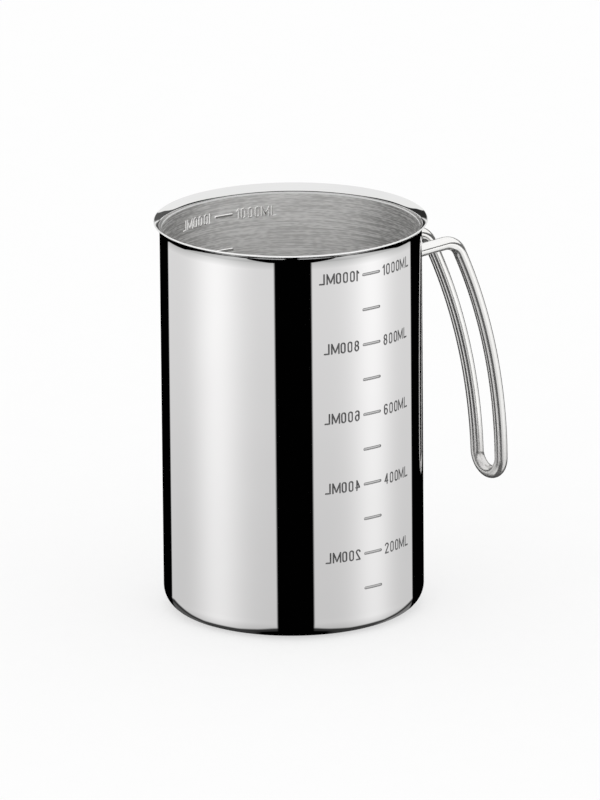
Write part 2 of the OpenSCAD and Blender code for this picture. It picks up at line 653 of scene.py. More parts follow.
def nearest(points: Array, segments: Array) -> tuple[Array, Array]:
    """Distance from points to the nearest of some segments, and the way there.

    Args:
        points: points, one a row.
        segments: start x, start y, end x, end y, one segment a row.

    Returns:
        The distances, and unit vectors from the nearest place to each point.
    """
    start, way = segments[:, :2], segments[:, 2:] - segments[:, :2]
    length2 = np.maximum((way * way).sum(1), TINY)
    offset = points[:, None, :] - start[None, :, :]
    share = np.clip((offset * way[None]).sum(2) / length2, 0.0, 1.0)
    apart = offset - share[:, :, None] * way[None]
    distance = np.linalg.norm(apart, axis=2)
    pick = np.argmin(distance, axis=1)
    rows = np.arange(len(points))
    best = distance[rows, pick]
    return best, apart[rows, pick] / np.maximum(best, TINY)[:, None]


def surround(segments: Array, room: float) -> tuple[Array, Array]:
    """Lowest and highest corner of a box round some segments, with room to spare."""
    ends = segments.reshape(-1, 2)
    return ends.min(0) - room, ends.max(0) + room


@dataclass(frozen=True)
class Punch:
    """Section of a pressed stroke: flat floor to one half width, up to the surface at the other, in mm."""

    floor: float
    edge: float
    depth: float = 0.3
    floor_shade: float = 0.3
    margin: float = 0.03

    @property
    def flank_width(self) -> float:
        """Width of the flank; the margin outside it keeps the wall true along the outermost loop."""
        return self.edge - self.margin - self.floor

    def share(self, distance: Array) -> Array:
        """How far down the flank a place is: 0 outside, 1 on the floor."""
        return np.clip((self.edge - self.margin - distance) / self.flank_width, 0.0, 1.0)

    def levels(self) -> tuple[float, float, float]:
        """Half widths along which the mesh follows the stroke."""
        return self.floor, (self.floor + self.edge) / 2, self.edge


@dataclass(frozen=True)
class Shape:
    """Centre lines of one letter, number or dash, in mm, with the punch that presses it."""

    lines: tuple[Array, ...]
    punch: Punch

    def segments(self) -> Array:
        """All straight bits of the centre lines, one a row."""
        return np.vstack([np.hstack([line[:-1], line[1:]]) for line in self.lines])

    def outlines(self, pitch: float = 0.04, tolerance: float = 0.007) -> list[Array]:
        """Loops along the punch's floor, flank and edge.

        Args:
            pitch: grid pitch with which the loops are found, in mm.
            tolerance: how far thinning may move a loop, in mm.

        Returns:
            The loops' points, in mm.
        """
        segments = self.segments()
        low, high = surround(segments, self.punch.edge + 3 * pitch)
        xs, ys = np.arange(low[0], high[0], pitch), np.arange(low[1], high[1], pitch)
        grid = np.stack(np.meshgrid(xs, ys), axis=-1).reshape(-1, 2)
        values = nearest(grid, segments)[0].reshape(len(ys), len(xs))
        return [
            thinned(low + loop * pitch, tolerance)
            for level in self.punch.levels() for loop in level_loops(values, level)
        ]


@dataclass(frozen=True)
class StrokeFont:
    """Plain narrow capitals and numbers, drawn as single strokes, in mm."""

    width: float = 1.5
    height: float = 3.65
    pitch: float = 2.83
    bow_step: float = 12.0
    punch: Punch = Punch(0.05, 0.36, floor_shade=0.9)

    def bow(self, x: float, y: float, rx: float, ry: float, start: float, end: float) -> Array:
        """Points along an ellipse about x and y, with half sizes rx and ry, between two angles in degrees."""
        turn = np.radians(np.linspace(start, end, max(3, int(abs(end - start) / self.bow_step) + 1)))
        return np.stack([x + rx * np.cos(turn), y + ry * np.sin(turn)], axis=1)

    def advance(self, letter: str) -> float:
        """Way from a letter to the next one: the number 1 is narrow, the M is wide."""
        return ADVANCE.get(letter, 1.0) * self.pitch

    def shape(self, letter: str) -> Shape:
        """Centre lines of one letter or number.

        Args:
            letter: one of LETTERS.

        Returns:
            Its shape, standing on the height 0; the narrow 1 and the wide M start left of 0.
        """
        w, h = self.width, self.height
        r = w / 2
        bow = self.bow
        drawn: dict[str, tuple[Any, ...]] = {
            "0": (np.vstack([bow(r, h - r, r, r, 0, 180), bow(r, r, r, r, 180, 360), [[w, h - r]]]),),
            "1": ([[-0.18 * w, 0.78 * h], [0.25 * w, h], [0.25 * w, 0]],),
            "2": (np.vstack([bow(r, h - r, r, r, 170, -30), [[0, 0], [w, 0]]]),),
            "4": ([[0.74 * w, 0], [0.74 * w, h], [0, 0.28 * h], [w, 0.28 * h]],),
            "6": (
                bow(r, 0.29 * h, r, 0.29 * h, 0, 360),
                np.vstack([[[0, 0.29 * h]], [[0, h - r]], bow(r, h - r, r, r, 180, 25)]),
            ),
            "8": (
                bow(r, 0.265 * h, r, 0.265 * h, 0, 360),
                bow(r, 0.765 * h, 0.92 * r, 0.235 * h, 0, 360),
            ),
            "M": ([[-0.25 * w, 0], [-0.25 * w, h], [0.685 * w, 0.1 * h], [1.62 * w, h], [1.62 * w, 0]],),
            "L": ([[0.05 * w, h], [0.05 * w, 0], [1.16 * w, 0]],),
        }
        return Shape(tuple(np.array(line, float) for line in drawn[letter]), self.punch)


@dataclass
class Relief:
    """A triangulated stretch of wall with pressed strokes: places in mm round and up the wall."""

    places: Array
    triangles: Array
    depth: Array
    slope: Array
    flank: Array


@dataclass
class PressedScale:
    """One of the two scales: strokes and lettering pressed into the wall, in mm, ml and degrees."""

    angle: int
    radius: float
    mark_heights: list[float]
    mark_volume: int
    low: float
    high: float
    half_span: int
    mark_length: float = 8.5
    mark_punch: Punch = Punch(0.2, 0.62, floor_shade=0.45)
    label_gap: float = 1.45
    stroke_room: float = 1.0
    font: StrokeFont = StrokeFont()

    def label(self, number: int) -> str:
        """Lettering beside a mark: every second mark has it."""
        return f"{number * self.mark_volume}ML" if number % 2 == 0 else ""

    def shapes(self) -> dict[str, Shape]:
        """The shapes that are pressed into the wall.

        Returns:
            The letters, and the stroke of a mark about its own middle as a dash.
        """
        half = self.mark_length / 2 - self.mark_punch.edge
        mark = Shape((np.array([[-half, 0.0], [half, 0.0]]),), self.mark_punch)
        return {letter: self.font.shape(letter) for letter in LETTERS} | {"-": mark}

    def placed(self) -> list[Stand]:
        """Where each shape stands.

        Returns:
            For each shape its letter or a dash, its place round and up the wall, and 1 or -1 for mirrored.
        """
        first = self.mark_length / 2 + self.label_gap + self.font.punch.edge
        rows = []
        for number, height in enumerate(self.mark_heights, start=1):
            rows.append(("-", 0.0, height, 1.0))
            across, low = first, height - self.font.height / 2
            for letter in self.label(number):
                rows += [(letter, hand * across, low, hand) for hand in (1.0, -1.0)]
                across += self.font.advance(letter)
        return rows

    def relief(self) -> Relief:
        """Triangulates the stretch of wall that holds the scale.

        Returns:
            The pressed stretch.
        """
        shapes, placed = self.shapes(), self.placed()
        loops = {letter: shape.outlines() for letter, shape in shapes.items()}
        step = math.radians(1.0) * self.radius
        columns = np.arange(-self.half_span, self.half_span + 1) * step
        count = len(columns)
        points: list[Span] = [(s, height) for height in (self.low, self.high) for s in columns]
        edges = [(k, k + count) for k in range(count)]
        edges += [(k, k + 1) for start in (0, count) for k in range(start, start + count - 1)]
        for letter, across, up, hand in placed:
            for loop in loops[letter]:
                base = len(points)
                points += [(across + hand * x, up + y) for x, y in loop]
                edges += [(base + k, base + (k + 1) % len(loop)) for k in range(len(loop))]
        found = delaunay_2d_cdt([Vector(p) for p in points], edges, [], 0, JOIN)
        places = np.array([tuple(p) for p in found[0]])
        triangles = np.array(found[2])
        corner = places[triangles]
        one, two = corner[:, 1] - corner[:, 0], corner[:, 2] - corner[:, 0]
        turned = one[:, 0] * two[:, 1] - one[:, 1] * two[:, 0] < 0
        triangles[turned] = triangles[turned][:, ::-1]
        return Relief(places, triangles, *self.pressed(places, placed, shapes))

    def pressed(
        self, places: Array, placed: list[Stand], shapes: dict[str, Shape]
    ) -> tuple[Array, Array, Array]:
        """Depth of the pressed strokes.

        Args:
            places: places on the wall, round and up, in mm.
            placed: the shapes and where they stand.
            shapes: the centre lines of each shape.

        Returns:
            Depth, slope round and up the wall, and how much each place is a flank.
        """
        depth, flank = np.zeros(len(places)), np.zeros(len(places))
        slope = np.zeros((len(places), 2))
        for letter, across, up, hand in placed:
            punch = shapes[letter].punch
            segments = shapes[letter].segments() * [hand, 1.0, hand, 1.0] + [across, up, across, up]
            low, high = surround(segments, self.stroke_room)
            near = np.nonzero(((places > low) & (places < high)).all(1))[0]
            distance, away = nearest(places[near], segments)
            share = punch.share(distance)
            down = punch.depth * share * share * (3 - 2 * share)
            steep = -punch.depth * 6 * share * (1 - share) / punch.flank_width
            deeper = down > depth[near]
            chosen = near[deeper]
            depth[chosen] = down[deeper]
            slope[chosen] = (steep[:, None] * away)[deeper]
            flank[chosen] = np.maximum(4 * share * (1 - share), punch.floor_shade * share)[deeper]
        return depth, slope, flank


@dataclass
class Section:
    """Half section of the sheet in mm, walked from under the base, up the outside, over the lip and down."""

    points: list[Span] = field(default_factory=list)
    normals: list[Span] = field(default_factory=list)
    finishes: list[SteelWork] = field(default_factory=list)

    def add(self, r: float, z: float, nr: float, nz: float, finish: SteelWork) -> None:
        """Adds a point unless it is where the last one is.

        Args:
            r: radius.
            z: height.
            nr: outward part of the normal.
            nz: upward part of the normal.
            finish: finish of the stretch that ends here.
        """
        if self.points and math.dist(self.points[-1], (r, z)) < CLOSE:
            return
        if self.points:
            self.finishes.append(finish)
        self.points.append((r, z))
        self.normals.append((nr, nz))

    def arc(
        self, centre: Span, radius: float, turn: Span, hollow: bool, finish: SteelWork, steps: int
    ) -> None:
        """Adds a bend.

        Args:
            centre: radius and height of the bend's centre.
            radius: radius of the bend.
            turn: first and last angle in degrees.
            hollow: true where the surface faces the bend's centre.
            finish: finish of the bend.
            steps: number of pieces.
        """
        side = -1.0 if hollow else 1.0
        for angle in np.radians(np.linspace(*turn, steps + 1)):
            c, s = math.cos(angle), math.sin(angle)
            self.add(centre[0] + radius * c, centre[1] + radius * s, side * c, side * s, finish)

    def run(self) -> Array:
        """Way walked to each point, in metres."""
        steps = np.linalg.norm(np.diff(np.array(self.points), axis=0), axis=1)
        return np.concatenate([[0.0], np.cumsum(steps)]) * MM


@dataclass
class SheetMesh:
    """The sheet while it is put together: rows of place in mm, normal and SHEET_VALUES, and the faces."""

    rows: list[Array] = field(default_factory=list)
    faces: list[Face] = field(default_factory=list)
    finishes: list[int] = field(default_factory=list)

    def count(self) -> int:
        """Number of vertices so far."""
        return sum(map(len, self.rows))

    def cover(self, faces: list[Face], work: SteelWork) -> None:
        """Adds faces of one finish."""
        self.faces += faces
        self.finishes += [SHEET_WORKS.index(work)] * len(faces)

    def mesh(self, name: str) -> Mesh:
        """Makes the mesh with its finishes, values and normals.

        Args:
            name: the mesh's name.

        Returns:
            The new mesh, in metres.
        """
        table = np.vstack(self.rows)
        made = new_mesh(name, table[:, :3] * MM, self.faces)
        for work in SHEET_WORKS:
            made.materials.append(work.value.material())
        made.polygons.foreach_set("material_index", self.finishes)
        made.polygons.foreach_set("use_smooth", [True] * len(self.faces))
        set_values(made, dict(zip(SHEET_VALUES, table[:, 6:].T)))
        made.update()
        made.normals_split_custom_set_from_vertices(table[:, 3:6].tolist())
        return made


@dataclass
class JugBody:
    """Drawn body with flared rim, raised base panel and two pressed scales, sizes in mm."""

    height: float
    bore: float = 48.5
    wall: float = 0.6
    base_round: float = 8.0
    ring_width: float = 2.0
    base_lift: float = 6.0
    ring_bend: float = 2.5
    panel_bend: float = 2.0
    rim_bend: float = 3.0
    rim_turn: float = 75.0
    lip_round: float = 0.15
    crease_angle: float = 173.0
    crease_foot: float = 0.2
    head_room: float = 10.3
    mark_volume: int = 100
    mark_count: int = 10
    scale_angles: tuple[int, int] = (-90, 84)
    scale_span: int = 29
    scale_low: float = 12.0
    scale_high: float = 144.0
    inside_lean: float = 1.1

    @property
    def outside(self) -> float:
        """Outside radius of the straight side."""
        return self.bore + self.wall

    @property
    def rim_height(self) -> float:
        """Height of the centre about which the rim is bent out."""
        return self.height - (self.rim_bend + self.wall) * sin_deg(self.rim_turn)

    def mark_heights(self) -> list[float]:
        """Places the marks by volume, down from the one for the full jug.

        Returns:
            The heights, from the lowest up.
        """
        rise = self.mark_volume * ML / (math.pi * self.bore ** 2)
        top = self.height - self.head_room
        return [top - rise * (self.mark_count - n) for n in range(1, self.mark_count + 1)]

    def section(self) -> Section:
        """Walks round the half section.

        Returns:
            The section's points, normals and finishes.
        """
        out, ins, crease = SteelWork.OUTSIDE, SteelWork.INSIDE, SteelWork.CREASE
        edge = self.outside - self.base_round
        ring = edge - self.ring_width
        panel = ring - self.ring_bend - self.panel_bend
        panel_centre, ring_centre = (panel, self.base_lift - self.panel_bend), (ring, self.ring_bend)
        edge_centre = (edge, self.base_round)
        rim, rim_outer = (self.outside + self.rim_bend, self.rim_height), self.rim_bend + self.wall
        lip_radius = self.rim_bend + self.wall / 2
        tip = 180.0 - self.rim_turn + math.degrees(self.lip_round / lip_radius)
        lip = (rim[0] + lip_radius * cos_deg(tip), rim[1] + lip_radius * sin_deg(tip))
        made = Section()
        made.add(0.0, self.base_lift, 0.0, -1.0, ins)
        made.arc(panel_centre, self.panel_bend, (90, 0), True, ins, 6)
        made.arc(ring_centre, self.ring_bend, (180, 270), False, ins, 6)
        made.add(edge, 0.0, 0.0, -1.0, ins)
        made.arc(edge_centre, self.base_round, (270, 360), False, out, 10)
        made.add(self.outside, self.scale_low, 1.0, 0.0, out)
        made.add(self.outside, self.scale_high, 1.0, 0.0, out)
        made.arc(rim, self.rim_bend, (180, tip), True, out, 10)
        for side, start in ((-1.0, tip + 180.0), (1.0, tip + 270.0)):
            off = side * (self.wall / 2 - self.lip_round)
            corner = (lip[0] + off * cos_deg(tip), lip[1] + off * sin_deg(tip))
            made.arc(corner, self.lip_round, (start, start + 90.0), False, SteelWork.LIP, 5)
        made.arc(rim, rim_outer, (tip, self.crease_angle), False, SteelWork.RIM, 12)
        made.arc(rim, rim_outer, (self.crease_angle, 180), False, crease, 2)
        made.add(self.bore, rim[1] - self.crease_foot, -1.0, 0.0, crease)
        made.add(self.bore, self.scale_high, -1.0, 0.0, ins)
        made.add(self.bore, self.scale_low, -1.0, 0.0, ins)
        made.arc(edge_centre, self.base_round - self.wall, (360, 270), True, ins, 8)
        made.add(ring, self.wall, 0.0, 1.0, ins)
        made.arc(ring_centre, self.ring_bend - self.wall, (270, 180), True, ins, 6)
        made.arc(panel_centre, self.panel_bend + self.wall, (0, 90), False, ins, 6)
        made.add(0.0, self.base_lift + self.wall, 0.0, 1.0, ins)
        return made

    def add_rings(self, sheet: SheetMesh, section: Section) -> None:
        """Spins the section and leaves the sheet open where the scales come in.

        Args:
            sheet: the sheet, still empty.
            section: the half section; its first and its last point lie on the axis.
        """
        points, normals = np.array(section.points), np.array(section.normals)
        before_lip = np.arange(len(points)) <= int(np.argmax(points[:, 0]))
        # where the painted shade under the rim is full: the flare's underside, fading out down the wall to
        # the top of the scales
        rim_shaded = before_lip & (points[:, 1] > self.rim_height - CLOSE)
        values = np.column_stack([section.run(), np.zeros(len(points)), rim_shaded])
        turn = np.radians(np.arange(COLUMNS))
        spun = [polar(turn, pairs[1:-1, :1], pairs[1:-1, 1:]).reshape(-1, 3) for pairs in (points, normals)]
        sheet.rows.append(np.hstack([*spun, np.repeat(values[1:-1], COLUMNS, axis=0)]))
        count = sheet.count()
        for end in (0, -1):
            ends = (polar(0.0, 0.0, pairs[end, 1]) for pairs in (points, normals))
            sheet.rows.append(np.hstack([*ends, values[end]])[None])
        rings = np.arange(count).reshape(-1, COLUMNS)
        rings = np.vstack([np.full(COLUMNS, count), rings, np.full(COLUMNS, count + 1)])
        span = range(-self.scale_span, self.scale_span)
        taken = {(angle + k) % COLUMNS for angle in self.scale_angles for k in span}
        for row, work in enumerate(section.finishes):
            low, high = rings[row], rings[row + 1]
            quads = np.stack([low, np.roll(low, -1), np.roll(high, -1), high], axis=1).tolist()
            rise = abs(points[row + 1, 1] - points[row, 1])
            is_scale = abs(rise - (self.scale_high - self.scale_low)) < CLOSE
            opened = taken if is_scale else ()
            sheet.cover([tuple(dict.fromkeys(quad)) for k, quad in enumerate(quads) if k not in opened], work)

    def add_relief(
        self, sheet: SheetMesh, section: Section, scale: PressedScale, relief: Relief, outer: bool
    ) -> None:
        """Fits a pressed scale into the opening that the rings leave for it.

        Args:
            sheet: the sheet with its rings.
            section: the half section.
            scale: the scale.
            relief: its pressed stretch of wall.
            outer: true for the outside, false for the strokes that stand proud inside.
        """
        heights, run = np.array(section.points)[:, 1], section.run()
        low_row, high_row = (
            int(np.nonzero(np.abs(heights - end) < CLOSE)[0][0 if outer else 1])
            for end in (scale.low, scale.high)
        )
        around, up = relief.places.T
        theta = math.radians(scale.angle) + around / self.outside
        radii = (self.outside if outer else self.bore) - relief.depth
        ahead = polar(theta)
        aside = np.cross([0.0, 0.0, 1.0], ahead)
        normal = ahead + (relief.slope[:, 0] * self.outside / radii)[:, None] * aside
        lean = 0.0 if outer else self.inside_lean
        normal[:, 2] += relief.slope[:, 1] + lean * relief.slope[:, 0]
        normal *= (1.0 if outer else -1.0) / np.linalg.norm(normal, axis=1)[:, None]
        bottom, top = (np.abs(up - end) < CLOSE for end in (scale.low, scale.high))
        own = ~(bottom | top)
        column = np.round(np.degrees(theta)).astype(int) % COLUMNS
        index = (np.where(bottom, low_row, high_row) - 1) * COLUMNS + column
        index[own] = sheet.count() + np.arange(int(own.sum()))
        rise = (up - scale.low) / (scale.high - scale.low)
        section_run = run[low_row] + (run[high_row] - run[low_row]) * rise
        values = np.column_stack([section_run, relief.flank, np.zeros(len(up))])
        sheet.rows.append(np.hstack([polar(theta, radii, up), normal, values])[own])
        corners = index[relief.triangles][:, :: 1 if outer else -1].tolist()
        sheet.cover([tuple(corner) for corner in corners], SteelWork.OUTSIDE if outer else SteelWork.INSIDE)

    def build(self) -> Piece:
        """Builds the sheet as one closed mesh with its two scales.

        Returns:
            The piece.
        """
        section, sheet = self.section(), SheetMesh()
        self.add_rings(sheet, section)
        for angle in self.scale_angles:
            scale = PressedScale(
                angle, self.outside, self.mark_heights(), self.mark_volume,
                self.scale_low, self.scale_high, self.scale_span)
            relief = scale.relief()
            log.info("scale at %d degrees: %d triangles", angle, len(relief.triangles))
            for outer in (True, False):
                self.add_relief(sheet, section, scale, relief, outer)
        return new_piece("jug_sheet", sheet.mesh("jug_sheet"))

    def dress(self) -> Piece:
        """Builds the sheet, puts it on the frame and hides the imported body.

        Returns:
            The piece.
        """
        piece = self.build()
        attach(piece, BODY)
        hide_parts("jug_body")
        return piece


@dataclass
class WireHandle:
    """Loop of bent wire that hangs from two welds below the rim, sizes in mm."""

    jug_height: float
    wall_radius: float
    wire: float = 5.0
    drop: float = 20.3
    top_gap: float = 18.5
    foot_gap: float = 14.7
    reach: float = 21.7
    run_rise: float = 3.0
    corner_bend: float = 8.0
    lean_top: float = 26.3
    lean_foot: float = 1.4
    leg_length: float = 89.0
    run_points: int = 24
    corner_points: int = 40
    leg_points: int = 90
    foot_points: int = 61
    sides: int = 48
    sink: float = 0.2
    start: float = 0.3
    end_slack: float = 1e-7

    def half_path(self) -> tuple[Array, Array]:
        """Centre line of the half on the left, from the wall to the foot.

        Returns:
            The points, and the direction in which the half ends.
        """
        corner_turn = 90 + self.run_rise - self.lean_top
        leg_turn = self.lean_top - self.lean_foot
        leg_bend = math.degrees(self.leg_length / leg_turn)
        bend = self.corner_bend
        run = self.reach / cos_deg(self.run_rise) - bend * math.tan(math.radians(corner_turn / 2))
        leg_x = run + (bend - leg_bend) * sin_deg(corner_turn)
        leg_z = -bend + (bend - leg_bend) * cos_deg(corner_turn)
        straight = np.linspace(self.start, run, self.run_points)[:-1]
        corner = np.radians(np.linspace(0, corner_turn, self.corner_points))
        leg = np.radians(np.linspace(corner_turn, corner_turn + leg_turn, self.leg_points)[1:])
        flat = np.vstack([
            np.column_stack([straight, np.zeros_like(straight)]),
            np.column_stack([run + bend * np.sin(corner), bend * (np.cos(corner) - 1)]),
            np.column_stack([leg_x + leg_bend * np.sin(leg), leg_z + leg_bend * np.cos(leg)]),
        ])
        tilt = math.asin((self.top_gap - self.foot_gap) / 2 / -flat[-1, 1])
        c, s = cos_deg(self.run_rise), sin_deg(self.run_rise)
        plane = np.array([[c, 0.0, s], [-math.cos(tilt) * s, math.sin(tilt), math.cos(tilt) * c]])
        origin = np.array([self.wall_radius, self.top_gap / 2, self.jug_height - self.drop])
        return origin + flat @ plane, np.array([math.cos(leg[-1]), -math.sin(leg[-1])]) @ plane

    def path(self) -> Array:
        """Centre line of the whole loop: both halves, and the bend that closes them at the foot.

        Returns:
            The points, from wall to wall.
        """
        left, way = self.half_path()
        forward = np.array([way[0], 0.0, way[2]])
        level = np.linalg.norm(forward)
        forward /= level
        slant = math.atan2(-way[1], level)
        bend = self.foot_gap / 2 / math.cos(slant)
        centre = np.array([left[-1, 0], 0.0, left[-1, 2]]) - bend * math.sin(slant) * forward
        ends = 90 + math.degrees(slant), 270 - math.degrees(slant)
        turn = np.radians(np.linspace(*ends, self.foot_points))[1:-1, None]
        loop = centre - bend * np.cos(turn) * forward + bend * np.sin(turn) * [0.0, 1.0, 0.0]
        return np.vstack([left, loop, left[::-1] * [1.0, -1.0, 1.0]])

    def tree(self) -> tuple[bpy.types.NodeTree, dict[str, str]]:
        """Node tree that sweeps the wire along its path and keeps its grain.

        Returns:
            The tree, and the identifiers of its named inputs.
        """
        tree = bpy.data.node_groups.new("wire_sweep", "GeometryNodeTree")
        wanted = (("Geometry", "Geometry"), ("Radius", "Float"), ("Sides", "Int"), ("Finish", "Material"))
        names = {
            name: tree.interface.new_socket(name, in_out="INPUT", socket_type=f"NodeSocket{kind}").identifier
            for name, kind in wanted
        }
        tree.interface.new_socket("Geometry", in_out="OUTPUT", socket_type="NodeSocketGeometry")
        graph = Graph(tree)
        path = graph.node("NodeGroupInput", out="Geometry")
        radius = path.other("Radius")
        ring = graph.node(
            "GeometryNodeCurvePrimitiveCircle", {"mode": "RADIUS"},
            {"Radius": radius, "Resolution": path.other("Sides")})
        ring = graph.node(
            "GeometryNodeCaptureAttribute", {"captures": (("VECTOR", "Across"),)},
            {"Geometry": ring, "Across": graph.node("GeometryNodeInputPosition")})
        length = graph.node("GeometryNodeSplineParameter", out="Length")
        length = length - graph.node("GeometryNodeSplineLength", out="Length") * 0.5
        line = graph.node(
            "GeometryNodeCaptureAttribute", {"captures": (("FLOAT", "Along"),)},
            {"Geometry": path, "Along": length})
        swept = graph.node(
            "GeometryNodeCurveToMesh", sockets={"Curve": line, "Profile Curve": ring, "Fill Caps": True})
        x, y, _ = ring.other("Across").parts()
        grain = graph.vector(x / radius, y / radius, line.other("Along"))
        stored = graph.node(
            "GeometryNodeStoreNamedAttribute", {"data_type": "FLOAT_VECTOR", "domain": "POINT"},
            {"Geometry": swept, "Name": "grain", "Value": grain})
        smooth = graph.node("GeometryNodeSetShadeSmooth", sockets={"Geometry": stored})
        whole = graph.node("GeometryNodeRealizeInstances", sockets={"Geometry": smooth})
        coated = graph.node(
            "GeometryNodeSetMaterial", sockets={"Geometry": whole, "Material": path.other("Finish")})
        graph.node("NodeGroupOutput", sockets={"Geometry": coated}, out=None)
        return tree, names

    def build(self) -> Piece:
        """Sweeps the wire and cuts its ends to the round of the wall.

        Returns:
            The piece.
        """
        points = self.path() * MM
        curve = bpy.data.curves.new("wire_path", "CURVE")
        curve.dimensions = "3D"
        spline = curve.splines.new("POLY")
        spline.points.add(len(points) - 1)
        spline.points.foreach_set("co", np.hstack([points, np.ones((len(points), 1))]).ravel())
        rail = new_piece("wire_path", curve)
        tree, names = self.tree()
        sweep = rail.modifiers.new("wire_sweep", "NODES")
        sweep.node_group = tree
        sweep[names["Radius"]] = self.wire / 2 * MM
        sweep[names["Sides"]] = self.sides
        sweep[names["Finish"]] = SteelWork.WIRE.value.material()
        bpy.context.view_layer.update()
        mesh = bpy.data.meshes.new_from_object(rail.evaluated_get(bpy.context.evaluated_depsgraph_get()))
        rail.modifiers.remove(sweep)
        bpy.data.objects.remove(rail)
        mesh.name = "wire_loop"
        self.cut_ends(mesh)
        return new_piece("wire_loop", mesh)

    def cut_ends(self, mesh: Mesh) -> None:
        """Slides the end rings along the wire until they lie in the sheet.

        Args:
            mesh: the swept wire, changed in place.
        """
        count = len(mesh.vertices)
        co, grain = np.zeros(count * 3, np.float32), np.zeros(count * 3, np.float32)
        mesh.vertices.foreach_get("co", co)
        mesh.attributes["grain"].data.foreach_get("vector", grain)
        co, along = co.reshape(-1, 3).astype(float), grain.reshape(-1, 3)[:, 2]
        ends = (along < along.min() + self.end_slack) | (along > along.max() - self.end_slack)
        rise = math.tan(math.radians(self.run_rise))
        target = (self.wall_radius - self.sink) * MM
        x = np.sqrt(target ** 2 - co[ends, 1] ** 2)
        co[ends, 2] += (x - co[ends, 0]) * rise
        co[ends, 0] = x
        mesh.vertices.foreach_set("co", co.astype(np.float32).ravel())
        mesh.update()

    def dress(self) -> Piece:
        """Builds the wire, puts it on the frame and hides the imported handle.

        Returns:
            The piece.
        """
        piece = self.build()
        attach(piece, BODY)
        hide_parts("wire_handle")
        return piece


@dataclass
class WeldPair:
    """The two weld beads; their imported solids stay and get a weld's surface."""

    nodes: tuple[str, str] = ("weld_front", "weld_rear")

    def dress(self, packed: dict[str, Piece]) -> list[Piece]:
        """Gives both beads their finish.

        Args:
            packed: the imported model's objects by node.

        Returns:
            The two beads.
        """
        finish = SteelWork.WELD.value.material()
        beads = [packed[name] for name in self.nodes]
        for bead in beads:
            bead.data.materials.clear()
            bead.data.materials.append(finish)
        return beads


@dataclass(frozen=True)
class LightPanel:
    """A lit stretch of the studio's wall; angles in degrees round from the camera's side."""

    start: float
    end: float
    centre: float
    spread: float
    dim: float
    bright: float
    soft: float = 1.0

    def level(self, bearing: Term) -> Term:
        """Light of the panel at a bearing.

        Args:
            bearing: angle round from the camera's side, in degrees.

        Returns:
            The light, 0 outside the panel.
        """
        opened = bearing.step(self.start - self.soft, self.start + self.soft)
        closed = bearing.step(self.end - self.soft, self.end + self.soft)
        glow = ((bearing - self.centre) / self.spread).bell()
        return (opened - closed) * (self.dim + (self.bright - self.dim) * glow)


@dataclass(frozen=True)
class PanelHem:
    """Lower and upper edge of the panels; angles in degrees, bearings to either side of the camera."""

    foot: float = -18.8
    sag: float = 46.0
    sag_start: float = 19.0
    sag_end: float = 72.0
    sag_bend: float = 1.6
    corner: Span = (105.0, 109.0)
    soft: float = 0.8
    top: float = -5.0
    low_light: float = 0.9
    light_gain: float = 0.19
    light_rise: Span = (-18.6, -14.8)

    def cover(self, bearing: Term, rise: Term) -> Term:
        """Share of the panels' light that is left in a direction.

        Args:
            bearing: angle round from the camera's side.
            rise: angle above the level.

        Returns:
            About 1 between the edges, a little less low down, and 0 above and below them.
        """
        aside = abs(bearing)
        left = 1.0 - (aside - self.sag_start) / (self.sag_end - self.sag_start)
        hung = 1.0 - left.math("MAXIMUM", 0.0).math("MINIMUM", 1.0).math("POWER", self.sag_bend)
        edge = self.foot - self.sag * (hung * (1.0 - aside.step(*self.corner)))
        below = (rise - edge).step(-self.soft, self.soft)
        above = rise.step(self.top - self.soft, self.top + self.soft)
        return below * (1.0 - above) * (self.low_light + self.light_gain * rise.step(*self.light_rise))


@dataclass(frozen=True)
class BackWall:
    """Dim wall opposite the camera and its bright edge, which the rim's ends mirror; angles in degrees."""

    left: float = 0.11
    right: float = 0.03
    middle: Span = (-20.0, 20.0)
    near: Span = (117.0, 125.0)
    near_rise: Span = (2.0, 8.0)
    far: Span = (138.0, 146.0)
    far_rise: Span = (-13.0, -4.0)
    edge: float = 0.9
    edge_start: Span = (141.0, 147.0)
    edge_from: Span = (139.0, -12.0)
    edge_slope: float = 0.66
    edge_width: float = 2.0

    def light(self, bearing: Term, rise: Term, sky: Term) -> Term:
        """Light of the wall in a direction.

        Args:
            bearing: angle round from the camera's side.
            rise: angle above the level.
            sky: 1 where the sky shows above the wall.

        Returns:
            The light, with that of the edge.
        """
        aside = abs(bearing)
        far = aside.step(*self.far) * rise.step(*self.far_rise)
        shown = far.math("MAXIMUM", rise.step(*self.near_rise)) * aside.step(*self.near)
        level = self.right + (self.left - self.right) * bearing.step(*self.middle)
        foot, height = self.edge_from
        off = (rise - height - (aside - foot) * self.edge_slope) / self.edge_width
        edge = off.bell() * aside.step(*self.edge_start)
        return shown * (1.0 - sky) * level + edge * self.edge


